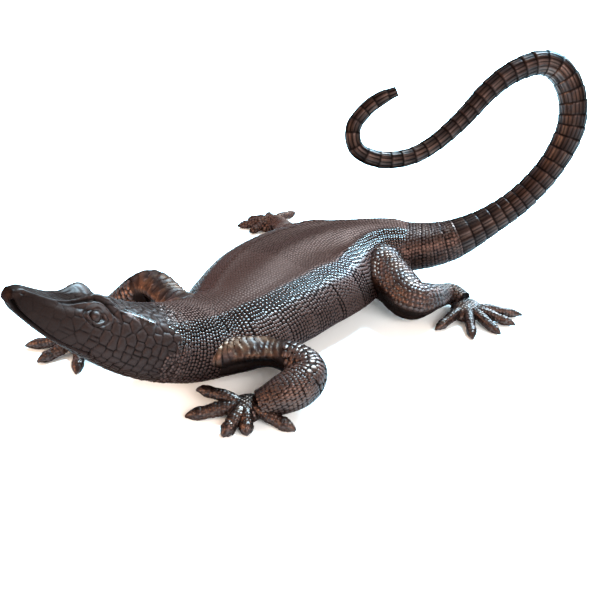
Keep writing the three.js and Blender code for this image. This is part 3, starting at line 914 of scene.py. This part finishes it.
FOLD_PITCH = 2.3  # from one fold of the upper arm's skin to the next
KNOB_PITCH = 4.2  # from one knob to the next
HAND_SCALE = 1.4  # across a scale of palm or toe
SCALELESS = {"arm": 0.5, "leg": 0.85}  # the share of the limb, from the body, with no scales low in front
LIMB_DRAWN = 0.97  # the shares that limbs and toes are drawn in to, to stay inside the same box
TOE_DRAWN = 0.95
TOE_REACH = 0.995  # the share of its full length that a toe reaches
limb_scale = scale_shape("limb_scale", hexagon, [(1.0, -0.7), (0.8, 0.6)], rear=0.4, boxy=2.3)
body_tree = skin_tree(trunk_route.section(trunk_route.spaced(BODY_STEP, 3), body_angles, backbone))


def flared(shell_points):
    """A limb's rings, swelled where they near the body, so that they run into it in a soft hollow."""
    outward = grid_normals(shell_points)
    flat = shell_points.reshape(-1, 3)
    away = np.array([max(0.0, -depth_in(body_tree, Vector(point))) for point in flat])
    swell = HOLLOW_REACH / 2.6 * np.clip(1 - away / HOLLOW_REACH, 0, 1) ** 2
    return shell_points + outward * swell.reshape(shell_points.shape[:2])[..., None]


def toe_route(palm, tip):
    """A toe's line from the palm over its knuckles to the claw. Its profile is (share of the way, height,
    thickness)."""
    tip_x, tip_y, tip_z, half = tip
    reach_x, reach_y = (tip_x - palm[0]) * TOE_REACH, (tip_y - palm[1]) * TOE_REACH
    profile = [(0, 4, 0.95), (0.3, 4.3 + 0.35 * tip_z, 1.02), (0.5, 3.5 + 0.6 * tip_z, 1.04),
               (0.66, 2.6 + 0.78 * tip_z, 0.93), (0.78, 2.1 + 0.9 * tip_z, 1.0), (0.88, 1.7 + tip_z, 0.74),
               (0.95, 1.4 + tip_z, 0.48), (1, 0.9 + tip_z, 0.2)]
    return Route([station(palm[0] + reach_x * t, palm[1] + reach_y * t, z, half * thick)
                  for t, z, thick in profile])


# Pitch, width and height of the scales, and the first and last place of their rows as shares of the limb
LIMB_SCALES = {
    "arm": [(1.9, 2.8, 0.16, 0.48, 0.74), (1.4, 1.3, 0.12, 0.76, 0.99)],
    "leg": [(2.0, 2.2, 0.15, 0.03, 0.6), (1.4, 1.4, 0.14, 0.62, 0.99)],
}


def rise_in_front(angles, facing):
    """Degrees up from the middle of a limb's front, and 90 all over its back."""
    return np.where(np.cos(angles) * facing > 0, above_side(angles), 90)


for name, limb in limbs.items():
    route = Route(limb["path"])
    angles = np.linspace(0, 2 * math.pi, 64, endpoint=False)
    side, kind = name.split("_")
    facing = -1 if side == "left" else 1
    arm = kind == "arm"
    dull = limb["dull"]
    skin_places = route.spaced(0.45 if arm else 1.4)
    along = skin_places[:, None] / route.last
    distance = np.interp(skin_places, route.dense, route.distance)[:, None]
    upper = np.clip(along / 0.1, 0, 1) * np.clip((SCALELESS[kind] - along) / 0.12, 0, 1)
    rise = rise_in_front(angles, facing)
    lit = upper * np.clip((rise - 4) / 12, 0, 1)
    fold_share = (distance / FOLD_PITCH + 0.3 * np.sin(3 * angles + 0.4 * distance)) % 1
    knobs = bump(rise - 48, 14) * bump(np.abs(distance % KNOB_PITCH - KNOB_PITCH / 2), 1.1)
    relief = upper * (bump(rise - 24, 14) - 1.2 * bump(rise + 16, 20))
    if arm:
        relief = relief + lit * (0.55 * (fold_share - 0.8) + 0.45 * knobs)
    skin = drawn_in(route.section(skin_places, angles), LIMB_DRAWN)
    skin = flared(skin + grid_normals(skin) * relief[..., None])
    # Painted light and shade: over the upper limb the crest value is raised on the top face, where the
    # light falls, and left near black on the underside as painted shade; on the arm it rises further
    # towards the folds' edges and over the knobs
    crest_and_painted_light = 0.1 + lit * (0.1 + 0.4 * fold_share + 0.4 * knobs if arm else 0.3)
    shell = (skin, crest_and_painted_light, 0.5 * lit + 0.1 if arm else 0.2, max(0.6, dull) - 0.4 * knobs * lit)
    marks = []
    for pitch, width, height, *ends in LIMB_SCALES[kind]:
        start, end = (share * route.last for share in ends)
        rows = rows_of_scales(route, pitch, width, start, end, jitter=0.16, seed=21)
        scaly = rows[:, 0] >= SCALELESS[kind] * route.last
        rows = rows[scaly | (rise_in_front(rows[:, 1], facing) > 20)]
        marks.append(marks_on(shell, route, rows, height, 0.15 if arm else 0.3, max(0.4, dull), overlap=1.2,
                              hidden_by=[body_tree]))
    palm_x, palm_y = limb["palm"]
    palm_middle = np.array([palm_x, palm_y, PALM_HEIGHT])
    palm = (palm_middle + ball_rings(28) * PALM_HALF, 0.9 * (1 - dull), 0.1, dull)
    palm_line = [(offset, math.sqrt(1 - (offset / PALM_HALF[0]) ** 2)) for offset in (-7, -4, 0, 4, 7)]
    palm_route = Route([station(palm_x + offset, palm_y, PALM_HEIGHT, PALM_HALF[1] * share,
                                PALM_HALF[2] * share) for offset, share in palm_line])
    palm_rows = rows_of_scales(palm_route, HAND_SCALE, HAND_SCALE, jitter=0.15, seed=6)
    marks.append(marks_on(palm, palm_route, palm_rows, 0.12, 0.3, dull))
    palm_tree = skin_tree(palm[0])
    shells = [shell, palm]
    for tip in limb["toes"]:
        toe = toe_route(limb["palm"], tip)
        toe_points = toe.section(toe.spaced(0.7), np.linspace(0, 2 * math.pi, 16, endpoint=False))
        toe_shell = (drawn_in(toe_points, TOE_DRAWN), 0.65 * (1.2 - dull), 0.2, dull)
        toe_rows = rows_of_scales(toe, 1.5, HAND_SCALE, 0.3, 5.0, jitter=0.15, seed=5)
        marks.append(marks_on(toe_shell, toe, toe_rows, 0.1, 0.15, dull, hidden_by=[palm_tree, body_tree]))
        shells.append(toe_shell)
    cast_piece(name, shells, np.concatenate([found for found in marks if len(found)]), limb_scale, 0.2)
